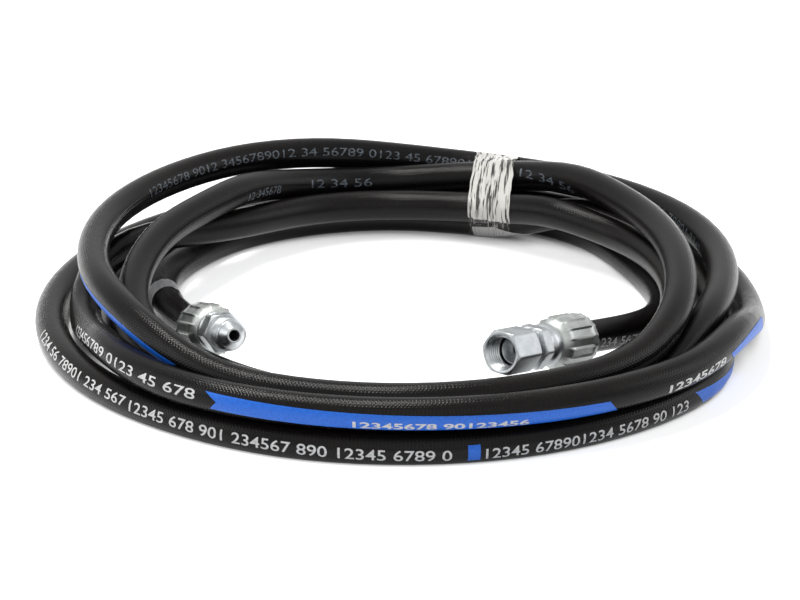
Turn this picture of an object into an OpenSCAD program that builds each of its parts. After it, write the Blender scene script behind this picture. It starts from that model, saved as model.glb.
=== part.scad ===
// Hydraulic hose assembly: a coiled hose with a male flare end and a female swivel end.
// Millimetres. The coil lies on z = 0 about the z axis. Passes are stacked up to three high.

/* [Hose] */
// Outside diameter of the hose cover, and the cord of the coil
hose_od = 12.7; // [9:0.1:20]
// Bore across its flats, as a share of the outside diameter
bore_share = 0.504; // [0.35:0.001:0.6]
// Wall of the inner tube, as a share of the outside diameter
tube_share = 0.051; // [0.03:0.001:0.1]
// Wall of the wire braid, as a share of the outside diameter
braid_share = 0.0425; // [0.02:0.0005:0.08]
// Gap between one layer and the next
layer_gap = 0.1; // [0.05:0.01:0.3]
// Rings in one turn of the swept hose
rings = 22; // [16:1:36]
// Part of the hose diameter that is cut flat where it rests on the floor
flat_part = 0.1; // [0.05:0.01:0.2]

/* [Ends] */
// Position of the male ferrule's rear face
male_pos = [-77.8, -46, 15.4]; // [-150:0.1:150]
// Compass angle and rise of the male end
male_turn = [-70, 17]; // [-180:1:180]
// Position of the female ferrule's rear face
female_pos = [68.3, -61.2, 17]; // [-150:0.1:150]
// Compass angle and rise of the female end
female_turn = [-127.6, 11.8]; // [-180:0.1:180]

/* [Ferrules] */
// Outside radius over the crimp ridges
ferrule_r = 10.4; // [8:0.1:14]
// Length of a ferrule
ferrule_len = 20.5; // [16:0.5:32]
// Number of crimp flats
crimps = 16; // [8:1:24]
// Gap between the hose cover and the ferrule's bore
ferrule_gap = 0.1; // [0.05:0.01:0.5]

/* [Thread and seat] */
// Major radius of the 1/2-20 thread
thread_r = 6.35; // [4:0.05:12]
// Bore radius of the nut, the thread's minor size
nut_bore_r = 5.8; // [3.5:0.05:11]
// Through bore radius of both stems
stem_bore_r = 2.1; // [1:0.05:4]
// Seat angle measured from the axis
seat_angle = 37; // [30:1:45]

/* [Hexes] */
// Across flats of the male hex
male_af = 14.29; // [11:0.01:22]
// Across flats of the swivel nut and the female hex
nut_af = 15.875; // [12:0.01:24]
// Length of the swivel nut
nut_len = 17.5; // [12:0.5:24]
// Radial running clearance of the swivel nut on its stem
swivel_gap = 0.06; // [0.01:0.01:0.1]

/* [Film ties] */
// Thickness of the stretch film
film_t = 0.25; // [0.1:0.05:1]
// Width of the band round the back of the bundle
film_w = 24; // [10:1:40]
// Where the back band sits on the ring, degrees from the back
film_at = 20; // [0:1:60]
// Lean of the back band off the ring's radius, degrees
film_lean = 14; // [0:1:20]

/* [Hidden] */

// Route of the coil: [angle, radius, height]. The angle counts up without a break from the
// male tail at the left through the back, right and front, once for each turn.
route = [
    [-115, 87.5, 13], [-105, 88.6, 10.2], [-98, 90.2, 8.6], [-90, 93.2, 7.4],
    [-82, 96.6, 6.6], [-75, 100, 5.9], [-68, 102.7, 5.3], [-60, 104.2, 5.1],
    [-50, 105.9, 5.1], [-40, 108, 5.1],
    [-20, 108, 5.1], [0, 107, 5.1], [15, 105, 5.1], [28, 104, 7.5],
    [35, 104, 13], [42, 105, 18.3], [48, 107, 19.6], [55, 111.5, 19.6],
    [62, 115.5, 19], [69, 119, 14.6], [77, 122.4, 8], [84, 124.3, 5.1],
    [100, 125.2, 5.1], [106, 127.8, 5.1], [112, 133.8, 5.1], [119, 139, 5.1],
    [129, 140.3, 5.1], [150, 140, 5.1], [165, 139.5, 5.1], [180, 139, 5.1],
    [200, 139, 5.1], [215, 138.3, 5.1], [240, 139.6, 5.1], [270, 139.8, 5.1],
    [300, 137.8, 5.1], [320, 136, 5.1], [345, 135.2, 5.1], [360, 134.5, 5.1],
    [395, 135.5, 5.1], [420, 138, 5.1], [450, 138.6, 5.1], [456, 139.2, 6.5],
    [462, 139.8, 11], [469, 140.4, 17], [476, 141.5, 18.9], [492, 145.5, 18.8],
    [510, 142.8, 18.8], [525, 140.5, 18.8], [540, 139.3, 18.8], [555, 139.4, 18.8],
    [570, 140, 18.8], [578, 140.3, 18.8], [586, 137.8, 18.8], [595, 133.8, 18.6],
    [604, 129.8, 16], [614, 126, 9.5], [624, 125.7, 5.3], [632, 126.5, 9.4],
    [639, 125.5, 15.6], [646, 119, 19.3], [653, 110.5, 19.8], [660, 102, 19],
    [668, 94.5, 18.2], [676, 91.5, 17.6], [684, 92, 16.8], [694, 94, 15.6], [705, 95.5, 14.7],
    [720, 96, 14], [735, 95, 14.8], [747, 93.2, 17], [756, 92, 20.3],
    [764, 92.2, 21.8], [770, 94, 21.2], [776, 97.8, 19.6], [786, 101.5, 19],
    [796, 104.5, 19], [806, 107, 19], [815, 109.5, 18.5], [823, 111.6, 17.4],
    [830, 112.4, 15.2], [838, 112.6, 13], [850, 113, 11.8], [865, 113.5, 11.6],
    [900, 113.5, 11.6], [915, 113.4, 11.8], [930, 113.6, 13.6], [940, 114.5, 15.6],
    [950, 115.5, 18.4], [960, 115, 19.4], [967, 112.5, 22.3], [976, 108, 25.8],
    [986, 102.5, 29], [996, 98, 31], [1007, 94, 32], [1018, 91.5, 32],
    [1028, 92, 32], [1036, 94.5, 31.4], [1044, 99, 28.8], [1052, 103.5, 25],
    [1062, 108, 21.5], [1072, 110.7, 19.4], [1080, 111.5, 19.3], [1092, 112.5, 21.5],
    [1106, 112, 25.5], [1115, 109.5, 29.5], [1122, 107, 32.4], [1129, 105, 33.2],
    [1140, 103.3, 33], [1158, 105, 32.7], [1171, 108, 32.4], [1184, 113, 30.7],
    [1192, 117, 28.5], [1200, 121, 26.8], [1208, 124.5, 22.4], [1216, 126, 19.2],
    [1225, 126, 18.8], [1260, 125.8, 18.8], [1285, 125.9, 18.8], [1292, 126.6, 19.5],
    [1298, 127, 22.5], [1305, 126.5, 26.8], [1315, 125, 30.8], [1325, 123.8, 32.6],
    [1345, 122, 32.6], [1375, 122.5, 32.6], [1402, 122.8, 32.6], [1411, 121.5, 32.6],
    [1421, 118.7, 32], [1430, 119.5, 29.7], [1438, 123.5, 26], [1447, 129, 22],
    [1456, 133, 19.4], [1466, 135, 18.8], [1484, 135, 18.8], [1497, 135, 18.8],
    [1508, 133.6, 18.8], [1520, 131, 18.8], [1530, 128.4, 18.8], [1540, 126.8, 18.8],
    [1548, 126.5, 18.9], [1556, 126.2, 17], [1564, 126.6, 10.8], [1573, 126, 5.3],
    [1620, 125.3, 5.1], [1640, 125, 5.1], [1650, 124.4, 5.1], [1660, 123.3, 5.1],
    [1670, 119.5, 5.1], [1680, 114.5, 5.1], [1690, 111.8, 5.1], [1700, 111.4, 5.1],
    [1709, 111.6, 5.1], [1716, 112.8, 5.1], [1724, 114.9, 5.1], [1732, 116.8, 5.1],
    [1740, 118.3, 5.1], [1760, 121.9, 5.1], [1780, 121.6, 5.1], [1800, 120.6, 5.1],
    [1820, 118.6, 5.1], [1835, 117.5, 5.1], [1843, 116, 5.1], [1850, 113, 5.1],
    [1857, 109.5, 5.1], [1865, 107.2, 5.1], [1875, 106.8, 5.1], [1883, 106.8, 5.1],
    [1890, 105.4, 5.1], [1896, 102.6, 5.7], [1903, 100.2, 7.8], [1911, 98.6, 11]
];
coil_from = -100;
coil_to = 1900;
blend = 3;
tail_steps = 4;
cap = 1;

shell_wall = 2;
hose_depth = ferrule_len - shell_wall - 1;
cord_r = hose_od / 2;
hose_bore = hose_od * bore_share;
tube_wall = hose_od * tube_share;
braid_wall = hose_od * braid_share;
side_n = 6;
bore_n = 5;
tube_in_r = hose_bore / 2 / cos(180 / bore_n);
tube_out_r = tube_in_r + tube_wall;
braid_in_r = tube_out_r + layer_gap;
braid_out_r = braid_in_r + braid_wall;
cover_in_r = braid_out_r + layer_gap;
floor_z = cord_r - flat_part * hose_od;

// Smoothed station values: a short weighted run of look-ups, the same at every angle.
weights = [1, 2, 3, 4, 3, 2, 1];
radii = [for (s = route) [s[0], s[1]]];
heights = [for (s = route) [s[0], s[2]]];
function total(v, i = 0) = i < len(v) ? v[i] + total(v, i + 1) : 0;
function smooth(t, tab) =
    total([for (k = [-3:3]) weights[k + 3] * lookup(t + k * blend, tab)]) / 16;
function coil_at(t) =
    let (r = smooth(t, radii)) [r * sin(t), r * cos(t), smooth(t, heights)];

function unit(v) = v / norm(v);
function heading(turn) = [cos(turn[1]) * cos(turn[0]), cos(turn[1]) * sin(turn[0]), sin(turn[1])];
function bend(p0, t0, p1, t1, s) =
    (2 * pow(s, 3) - 3 * pow(s, 2) + 1) * p0 + (pow(s, 3) - 2 * pow(s, 2) + s) * t0
    + (3 * pow(s, 2) - 2 * pow(s, 3)) * p1 + (pow(s, 3) - pow(s, 2)) * t1;

male_dir = heading(male_turn);
female_dir = heading(female_turn);
step = 360 / rings;
turns = [for (t = [coil_from:step:coil_to]) t];
coil = [for (t = turns) coil_at(t)];
first = coil[0];
last = coil[len(coil) - 1];
first_dir = unit(coil_at(turns[0] + 0.5) - coil_at(turns[0] - 0.5));
last_dir = unit(coil_at(turns[len(turns) - 1] + 0.5) - coil_at(turns[len(turns) - 1] - 0.5));
male_in = male_pos - male_dir * cap;
female_in = female_pos - female_dir * cap;
male_span = norm(first - male_in);
female_span = norm(female_in - last);

// One unbroken centre line, straight inside both ferrules.
line = concat(
    [male_pos + male_dir * hose_depth],
    [for (i = [0:tail_steps - 1])
        bend(male_in, -male_dir * male_span, first, first_dir * male_span, i / tail_steps)],
    coil,
    [for (i = [1:tail_steps])
        bend(last, last_dir * female_span, female_in, female_dir * female_span, i / tail_steps)],
    [female_pos + female_dir * hose_depth]);

// The same line, run on past both ends, for cutting bores.
function run_on(pts, d) = [for (i = [0:len(pts) - 1])
    i == 0 ? pts[0] + d * unit(pts[0] - pts[1])
    : i == len(pts) - 1 ? pts[i] + d * unit(pts[i] - pts[i - 1]) : pts[i]];

// Triangle-faced tube about a line. Rings stand square to the line.
function aim(pts, i) = unit(
    i == 0 ? pts[1] - pts[0]
    : i == len(pts) - 1 ? pts[i] - pts[i - 1]
    : unit(pts[i + 1] - pts[i]) + unit(pts[i] - pts[i - 1]));
function ring(pts, i, r, n) =
    let (t = aim(pts, i), s = unit(cross(t, [0, 0, 1])), u = cross(s, t), top = 90 * (n % 2))
    [for (j = [0:n - 1]) let (a = top + 360 * j / n) pts[i] + r * (cos(a) * s + sin(a) * u)];

module sweep(pts, r, n) {
    last_ring = len(pts) - 1;
    polyhedron(
        points = [for (i = [0:last_ring]) each ring(pts, i, r, n)],
        faces = concat(
            [[for (j = [n - 1:-1:0]) j]],
            [for (i = [0:last_ring - 1]) for (j = [0:n - 1])
                [i * n + j, i * n + (j + 1) % n, (i + 1) * n + (j + 1) % n]],
            [for (i = [0:last_ring - 1]) for (j = [0:n - 1])
                [i * n + j, (i + 1) * n + (j + 1) % n, (i + 1) * n + j]],
            [[for (j = [0:n - 1]) last_ring * n + j]]),
        convexity = 20);
}

// Least gap between passes, measured on a fine run of centre points.
fine = [for (t = [coil_from:3:coil_to]) coil_at(t)];
skip = 20;
gaps = [for (i = [0:len(fine) - 1 - skip]) min([for (j = [i + skip:len(fine) - 1])
    norm(fine[i] - fine[j])])];
spans = [for (i = [1:len(line) - 1]) norm(line[i] - line[i - 1])];
echo(least_self_gap = min(gaps) - hose_od, hose_length = total(spans), rings_used = len(line));

// The ring is centred on its own outline.
outline = [for (i = [0:len(line) - 1]) each ring(line, i, cord_r, side_n)];
xs = [for (q = outline) q[0]];
ys = [for (q = outline) q[1]];
centre = [(max(xs) + min(xs)) / 2, (max(ys) + min(ys)) / 2, 0];
module centred() {
    translate(-centre) children();
}
echo(centre = centre, male = male_pos - centre, male_dir = male_dir,
    female = female_pos - centre, female_dir = female_dir);

// Placing: local z runs from a ferrule's rear face towards the open end.
module at_male() {
    translate(male_pos - centre) rotate([0, 90 - male_turn[1], male_turn[0]]) children();
}
module at_female() {
    translate(female_pos - centre) rotate([0, 90 - female_turn[1], female_turn[0]]) children();
}

// Shared fitting sizes along local z.
tail_r = hose_bore / 2 - 0.1;
barb_in = 0.25;
tail_start = 1.5;
barbs = 3;
neck_r = 4.5;
neck_gap = 0.05;
ridge = 0.5;
edge = 0.9;
shell_r = ferrule_r - ridge;
hose_hole_r = cord_r + ferrule_gap;
mouth_flare = 0.9;
barb_pitch = (hose_depth - tail_start - 3) / barbs;

module ridges() {
    pitch = 360 / crimps;
    linear_extrude(height = ferrule_len - 5)
        polygon([for (i = [0:crimps - 1]) for (c = [[-0.3, -0.05], [-0.09, 1], [0.09, 1], [0.3, -0.05]])
            let (r = shell_r + ridge * c[1], a = pitch * (i + c[0])) [r * cos(a), r * sin(a)]]);
}

module ferrule() {
    difference() {
        union() {
            rotate_extrude($fn = 48) polygon([
                [0, 0], [shell_r - 0.4, 0], [shell_r + 0.1, 0.5], [shell_r + 0.1, 1.6],
                [shell_r, 2.2], [shell_r, ferrule_len - 3], [shell_r - 1.4, ferrule_len - 0.6],
                [shell_r - 2, ferrule_len], [0, ferrule_len]]);
            translate([0, 0, 2.4]) ridges();
        }
        translate([0, 0, -cap])
            cylinder(r = hose_hole_r, h = ferrule_len - shell_wall + cap, $fn = 48);
        translate([0, 0, -0.1])
            cylinder(r1 = hose_hole_r + mouth_flare, r2 = hose_hole_r, h = 1.5, $fn = 48);
        cylinder(r = neck_r + neck_gap, h = ferrule_len + cap, $fn = 48);
    }
}

module stem_tail() {
    rotate_extrude($fn = 40) polygon([
        [0, tail_start], [tail_r - 0.6, tail_start], [tail_r, tail_start + 2],
        for (i = [0:barbs - 1]) let (z = tail_start + 3 + i * barb_pitch)
            for (q = [[0, 0], [barb_in, 0.05], [barb_in, 0.3], [0, 0.8]])
                [tail_r - q[0], z + q[1] * barb_pitch],
        [tail_r, hose_depth + 0.3], [neck_r, hose_depth + 0.3],
        [neck_r, ferrule_len + 0.6], [0, ferrule_len + 0.6]]);
}

// Hex prism with both ends turned to a 30 degree chamfer.
module hex(af, z0, z1) {
    corner = af / sqrt(3);
    flat = af / 2;
    drop = (corner - flat) * 0.6;
    intersection() {
        translate([0, 0, z0]) rotate([0, 0, 30]) cylinder(r = corner, h = z1 - z0, $fn = 6);
        rotate_extrude($fn = 48) polygon([
            [0, z0], [flat, z0], [corner + 0.02, z0 + drop],
            [corner + 0.02, z1 - drop], [flat, z1], [0, z1]]);
    }
}

// Male stem, local z: collar, hex, thread, step down to the nose, tip.
male_collar = ferrule_len + 0.4;
male_hex = male_collar + 2.6;
male_thread = male_hex + 8.5;
male_step = male_thread + 8.7;
male_tip = male_step + 4.8;
collar_r = ferrule_r * 0.75;
cone_r = 5.1;
lip_r = 2.75;
cone_len = (cone_r - lip_r) / tan(seat_angle);

module male_stem() {
    color([0.78, 0.79, 0.8]) at_male() difference() {
        union() {
            stem_tail();
            rotate_extrude($fn = 48) polygon([
                [0, male_collar - 0.2], [collar_r - 0.6, male_collar - 0.2],
                [collar_r, male_collar + 0.5], [collar_r, male_collar + 1.7],
                [collar_r - 1.2, male_hex], [0, male_hex]]);
            hex(male_af, male_hex - 0.4, male_thread);
            rotate_extrude($fn = 48) polygon([
                [0, male_thread - 0.5], [5.5, male_thread - 0.5], [5.5, male_thread + 1.4],
                [thread_r, male_thread + 2.1], [thread_r, male_step - 0.8],
                [5.6, male_step], [cone_r, male_step], [cone_r, male_tip - cone_len - 0.5],
                [lip_r, male_tip - 0.5], [lip_r, male_tip], [0, male_tip]]);
        }
        cylinder(r = stem_bore_r, h = male_tip + cap, $fn = 36);
    }
}

module male_ferrule() {
    color([0.72, 0.73, 0.73]) at_male() ferrule();
}

// Female end, local z: collar, hex, then the nut from its back to its open face.
female_collar = ferrule_len + 0.4;
female_hex = female_collar + 7.1;
female_hex_end = female_hex + 5;
nut_back = female_hex_end + 1.2;
nut_face = nut_back + nut_len;
journal_r = 4.4;
head_r = 5.5;
head_back = nut_back + 4.6;
seat_face = head_back + 5;
seat_r = 4.7;
wire_z = nut_back + 2.4;
wire_r = 0.45;
wire_ring_r = journal_r + 0.1;
nut_hole_r = journal_r + swivel_gap;
nut_chamber_r = 6.5;

module female_stem() {
    color([0.78, 0.79, 0.8]) at_female() difference() {
        union() {
            stem_tail();
            rotate_extrude($fn = 48) polygon([
                [0, female_collar], [collar_r - 0.5, female_collar],
                [collar_r + 0.5, female_collar + 1], [collar_r + 0.5, female_collar + 4.2],
                [collar_r - 0.4, female_collar + 6.2], [collar_r - 0.4, female_hex + 0.2],
                [0, female_hex + 0.2]]);
            hex(nut_af, female_hex, female_hex_end);
            rotate_extrude($fn = 48) polygon([
                [0, female_hex_end - 0.4], [journal_r, female_hex_end - 0.4],
                [journal_r, wire_z - 0.55], [journal_r - 0.5, wire_z - 0.55],
                [journal_r - 0.5, wire_z + 0.55], [journal_r, wire_z + 0.55],
                [journal_r, head_back], [head_r, head_back], [head_r, seat_face - 0.5],
                [head_r - 0.5, seat_face], [0, seat_face]]);
        }
        cylinder(r = stem_bore_r, h = nut_face, $fn = 36);
        rotate_extrude($fn = 48) polygon([
            [0, seat_face - seat_r / tan(seat_angle)], [seat_r, seat_face],
            [seat_r, seat_face + cap], [0, seat_face + cap]]);
    }
}

module female_ferrule() {
    color([0.72, 0.73, 0.73]) at_female() ferrule();
}

module swivel_nut() {
    color([0.8, 0.81, 0.83]) at_female() difference() {
        union() {
            hex(nut_af, nut_back + 2.2, nut_face);
            rotate_extrude($fn = 48) polygon([
                [0, nut_back], [5.6, nut_back], [7, nut_back + 1], [7.5, nut_back + 3],
                [0, nut_back + 3]]);
        }
        translate([0, 0, nut_back - cap])
            cylinder(r = nut_hole_r, h = nut_len, $fn = 48);
        translate([0, 0, wire_z - 0.52])
            cylinder(r = wire_ring_r + wire_r + 0.06, h = 1.04, $fn = 48);
        translate([0, 0, head_back - 0.2])
            cylinder(r = nut_bore_r, h = nut_len, $fn = 48);
        translate([0, 0, head_back - 0.2])
            cylinder(r = nut_chamber_r, h = seat_face - head_back + 0.5, $fn = 48);
        translate([0, 0, nut_face - 1.1])
            cylinder(r1 = nut_bore_r, r2 = nut_bore_r + 1.1 + 0.1, h = 1.2, $fn = 48);
    }
}

// Round wire seated in the nut, running in the stem's groove.
module nut_retaining_wire() {
    color([0.6, 0.6, 0.62]) at_female() translate([0, 0, wire_z])
        rotate_extrude($fn = 40) translate([wire_ring_r, 0]) circle(r = wire_r, $fn = 16);
}

module floor_cut() {
    translate([-200, -200, -20]) cube([400, 400, 20]);
}
// Puts the back band at its angle, leaning off the radius about the film's middle.
film_mid = 113;
module film_place() {
    lean = tan(film_lean);
    rotate([0, 0, -film_at]) multmatrix([[1, -lean, 0, lean * film_mid], [0, 1, 0, 0],
        [0, 0, 1, 0], [0, 0, 0, 1]]) children();
}
// Room left under the hose where the film passes beneath the bundle.
module film_room() {
    film_place() translate([-film_w / 2 - 0.4, film_loop[0][0] - 3.4, -1])
        cube([film_w + 0.8, film_loop[1][0] - film_loop[0][0] + 6, 1 + film_t + 0.1]);
}

module hose_cover() {
    color([0.09, 0.09, 0.09]) centred() difference() {
        sweep(line, cord_r, side_n);
        sweep(run_on(line, cap), cover_in_r, bore_n);
        floor_cut();
        film_room();
    }
}
module wire_braid() {
    color([0.6, 0.55, 0.42]) centred() difference() {
        sweep(line, braid_out_r, bore_n);
        sweep(run_on(line, cap), braid_in_r, bore_n);
    }
}
module inner_tube() {
    color([0.16, 0.16, 0.16]) centred() difference() {
        sweep(line, tube_out_r, bore_n);
        sweep(run_on(line, cap), tube_in_r, bore_n);
    }
}

// Inside outline of the film round the bundle, as [radius, height], kept clear of every pass.
film_loop = [[98.4, film_t], [142.4, film_t], [142.6, 20.4], [141, 24.4], [137, 27.2],
    [116.4, 33.4], [108, 33.8], [104.4, 32.8], [85.6, 24.4], [83, 19.6], [83, 12.6], [86.4, 8.6]];

module bundle_film_tie() {
    color([0.85, 0.87, 0.88, 0.5]) centred() film_place()
        translate([film_w / 2, 0, 0]) rotate([90, 0, -90]) linear_extrude(height = film_w)
            mirror([1, 0]) difference() {
                offset(delta = film_t) polygon(film_loop);
                polygon(film_loop);
            }
}

// Film round the tail, between two points of the hose's own line.
tail_film_at = 5;
tail_film = [0.72, 0.97];
film_clear = 0.3;
function between(i, k) = line[i] * (1 - k) + line[i + 1] * k;
module tail_film_tie() {
    run = [between(tail_film_at, tail_film[0]), between(tail_film_at, tail_film[1])];
    color([0.85, 0.87, 0.88, 0.5]) centred() difference() {
        sweep(run, cord_r + film_clear + film_t, side_n);
        sweep(run_on(run, cap), cord_r + film_clear, side_n);
    }
}

hose_cover();
wire_braid();
inner_tube();
male_stem();
male_ferrule();
female_stem();
female_ferrule();
swivel_nut();
nut_retaining_wire();
bundle_film_tie();
tail_film_tie();
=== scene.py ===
"""Looks for a coiled hydraulic hose assembly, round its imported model. Blender units are metres."""

import itertools
import math

import bmesh
import bpy
import numpy as np
from mathutils import Matrix, Vector, noise


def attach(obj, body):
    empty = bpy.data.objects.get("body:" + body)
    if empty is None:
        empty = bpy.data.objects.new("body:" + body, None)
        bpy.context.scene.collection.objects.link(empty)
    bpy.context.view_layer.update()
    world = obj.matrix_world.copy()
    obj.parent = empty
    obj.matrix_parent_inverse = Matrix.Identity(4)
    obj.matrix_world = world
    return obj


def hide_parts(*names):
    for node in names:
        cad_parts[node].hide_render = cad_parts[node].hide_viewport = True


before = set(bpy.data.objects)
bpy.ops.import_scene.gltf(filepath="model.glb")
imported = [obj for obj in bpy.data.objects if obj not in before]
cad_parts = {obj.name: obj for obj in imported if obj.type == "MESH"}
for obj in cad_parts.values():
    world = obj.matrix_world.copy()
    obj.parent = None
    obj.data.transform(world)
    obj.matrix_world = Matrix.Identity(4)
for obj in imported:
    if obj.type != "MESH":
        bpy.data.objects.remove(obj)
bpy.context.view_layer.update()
MM = 0.001

# ---------------------------------------------------------------- sizes, in millimetres

HOSE_R, COVER_IN_R = 6.35, 5.4
BRAID_R, BRAID_IN_R = 5.3, 4.76
TUBE_R, TUBE_IN_R = 4.66, 3.3
COVER_FLAT, BRAID_FLAT, TUBE_FLAT = 0.02, 0.3, 0.6  # each layer's lowest height on the floor
HOSE_DEPTH = 17.5  # how far the hose goes into a ferrule
RUN_IN = 1.0  # straight run of hose behind a ferrule

MALE_POS, MALE_TURN = np.array([-77.8, -46.0, 15.4]), (-70.0, 17.0)
FEMALE_POS, FEMALE_TURN = np.array([68.3, -61.2, 17.0]), (-127.6, 11.8)

FERRULE_R, FERRULE_LEN, FERRULE_BORE_R = 10.4, 20.5, 6.43
CRIMPS = 16  # die marks round a ferrule
CRIMP_FROM, CRIMP_RISE = 2.4, 0.9  # where the marks start, and over what length they deepen
CRIMP_BACK, CRIMP_FADE = 1.6, 3.2  # the same for their front end, back from the ferrule's own
CRIMP_SINK, RIDGE = 1.2, 0.55  # share of a full flat; half width and height of the ridges
LOBE_LEN, LOBE_RISE, LOBE_SINK = 2.6, 0.34, 0.17  # the rear lip's scallops

THREAD_R, THREAD_PITCH, THREAD_DEPTH, THREAD_FLANK = 6.35, 1.27, 0.62, 2.6
NUT_THREAD_R = 5.8
MALE_HEX_AF, NUT_AF = 14.29, 15.875
HEX_ROUNDING, HEX_CHAMFER = 0.16, 0.58
BORE_R, NECK_R = 2.1, 4.45
TAIL_START, BARBS, BARB_R, BARB_ROOT_R = 1.5, 3, 3.08, 2.85
CONE_R, NOSE_R = 5.1, 2.75
SEAT_ANGLE = math.radians(37)

PRINT_LIFT, STRIPE_LIFT = 0.09, 0.05  # how far ink stands off the cover
STRIPE_CELLS, STRIPE_STEP = 10, 2.0  # cells across a stripe, and a cell's length
FIGURE_SCALE = 1.45  # a font's size over the height of its figures
FIGURE_STRIPS = 7  # cuts up a figure, so that it bends round the hose

# The hose's route: angle run through in degrees (0 back, 90 right, 180 front), radius, height.
ROUTE = [
    [-115, 87.5, 13], [-105, 88.6, 10.2], [-98, 90.2, 8.6], [-90, 93.2, 7.4],
    [-82, 96.6, 6.6], [-75, 100, 5.9], [-68, 102.7, 5.3], [-60, 104.2, 5.1],
    [-50, 105.9, 5.1], [-40, 108, 5.1],
    [-20, 108, 5.1], [0, 107, 5.1], [15, 105, 5.1], [28, 104, 7.5],
    [35, 104, 13], [42, 105, 18.3], [48, 107, 19.6], [55, 111.5, 19.6],
    [62, 115.5, 19], [69, 119, 14.6], [77, 122.4, 8], [84, 124.3, 5.1],
    [100, 125.2, 5.1], [106, 127.8, 5.1], [112, 133.8, 5.1], [119, 139, 5.1],
    [129, 140.3, 5.1], [150, 140, 5.1], [165, 139.5, 5.1], [180, 139, 5.1],
    [200, 139, 5.1], [215, 138.3, 5.1], [240, 139.6, 5.1], [270, 139.8, 5.1],
    [300, 137.8, 5.1], [320, 136, 5.1], [345, 135.2, 5.1], [360, 134.5, 5.1],
    [395, 135.5, 5.1], [420, 138, 5.1], [450, 138.6, 5.1], [456, 139.2, 6.5],
    [462, 139.8, 11], [469, 140.4, 17], [476, 141.5, 18.9], [492, 145.5, 18.8],
    [510, 142.8, 18.8], [525, 140.5, 18.8], [540, 139.3, 18.8], [555, 139.4, 18.8],
    [570, 140, 18.8], [578, 140.3, 18.8], [586, 137.8, 18.8], [595, 133.8, 18.6],
    [604, 129.8, 16], [614, 126, 9.5], [624, 125.7, 5.3], [632, 126.5, 9.4],
    [639, 125.5, 15.6], [646, 119, 19.3], [653, 110.5, 19.8], [660, 102, 19],
    [668, 94.5, 18.2], [676, 91.5, 17.6], [684, 92, 16.8], [694, 94, 15.6], [705, 95.5, 14.7],
    [720, 96, 14], [735, 95, 14.8], [747, 93.2, 17], [756, 92, 20.3],
    [764, 92.2, 21.8], [770, 94, 21.2], [776, 97.8, 19.6], [786, 101.5, 19],
    [796, 104.5, 19], [806, 107, 19], [815, 109.5, 18.5], [823, 111.6, 17.4],
    [830, 112.4, 15.2], [838, 112.6, 13], [850, 113, 11.8], [865, 113.5, 11.6],
    [900, 113.5, 11.6], [915, 113.4, 11.8], [930, 113.6, 13.6], [940, 114.5, 15.6],
    [950, 115.5, 18.4], [960, 115, 19.4], [967, 112.5, 22.3], [976, 108, 25.8],
    [986, 102.5, 29], [996, 98, 31], [1007, 94, 32], [1018, 91.5, 32],
    [1028, 92, 32], [1036, 94.5, 31.4], [1044, 99, 28.8], [1052, 103.5, 25],
    [1062, 108, 21.5], [1072, 110.7, 19.4], [1080, 111.5, 19.3], [1092, 112.5, 21.5],
    [1106, 112, 25.5], [1115, 109.5, 29.5], [1122, 107, 32.4], [1129, 105, 33.2],
    [1140, 103.3, 33], [1158, 105, 32.7], [1171, 108, 32.4], [1184, 113, 30.7],
    [1192, 117, 28.5], [1200, 121, 26.8], [1208, 124.5, 22.4], [1216, 126, 19.2],
    [1225, 126, 18.8], [1260, 125.8, 18.8], [1285, 125.9, 18.8], [1292, 126.6, 19.5],
    [1298, 127, 22.5], [1305, 126.5, 26.8], [1315, 125, 30.8], [1325, 123.8, 32.6],
    [1345, 122, 32.6], [1375, 122.5, 32.6], [1402, 122.8, 32.6], [1411, 121.5, 32.6],
    [1421, 118.7, 32], [1430, 119.5, 29.7], [1438, 123.5, 26], [1447, 129, 22],
    [1456, 133, 19.4], [1466, 135, 18.8], [1484, 135, 18.8], [1497, 135, 18.8],
    [1508, 133.6, 18.8], [1520, 131, 18.8], [1530, 128.4, 18.8], [1540, 126.8, 18.8],
    [1548, 126.5, 18.9], [1556, 126.2, 17], [1564, 126.6, 10.8], [1573, 126, 5.3],
    [1620, 125.3, 5.1], [1640, 125, 5.1], [1650, 124.4, 5.1], [1660, 123.3, 5.1],
    [1670, 119.5, 5.1], [1680, 114.5, 5.1], [1690, 111.8, 5.1], [1700, 111.4, 5.1],
    [1709, 111.6, 5.1], [1716, 112.8, 5.1], [1724, 114.9, 5.1], [1732, 116.8, 5.1],
    [1740, 118.3, 5.1], [1760, 121.9, 5.1], [1780, 121.6, 5.1], [1800, 120.6, 5.1],
    [1820, 118.6, 5.1], [1835, 117.5, 5.1], [1843, 116, 5.1], [1850, 113, 5.1],
    [1857, 109.5, 5.1], [1865, 107.2, 5.1], [1875, 106.8, 5.1], [1883, 106.8, 5.1],
    [1890, 105.4, 5.1], [1896, 102.6, 5.7], [1903, 100.2, 7.8], [1911, 98.6, 11]
]
COIL_FROM, COIL_TO = -100.0, 1900.0
RINGS_PER_TURN, FINE = 22, 4  # the solid's rings, and how many times finer this line is
BLEND = 3.0  # degrees between the samples that are averaged
WEIGHTS = (1, 2, 3, 4, 3, 2, 1)
TAIL_STEPS, TAIL_TURN = 16, 40.0  # steps in a tail, and the angle of turn that it counts as

# ---------------------------------------------------------------- the hose's centre line

stations = np.array(ROUTE, float)


def station(turn, column):
    """A smoothed value of the route at an angle, smoothed as the imported solid's route was."""
    shifts = range(-3, 4)
    picked = (np.interp(turn + k * BLEND, stations[:, 0], stations[:, column]) for k in shifts)
    return sum(w * value for w, value in zip(WEIGHTS, picked)) / sum(WEIGHTS)


def coil_at(turn):
    """Point of the coil at an angle of turn."""
    radius, a = station(turn, 1), math.radians(turn)
    return np.array([radius * math.sin(a), radius * math.cos(a), station(turn, 2)])


def unit(v):
    return v / np.linalg.norm(v)


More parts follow.
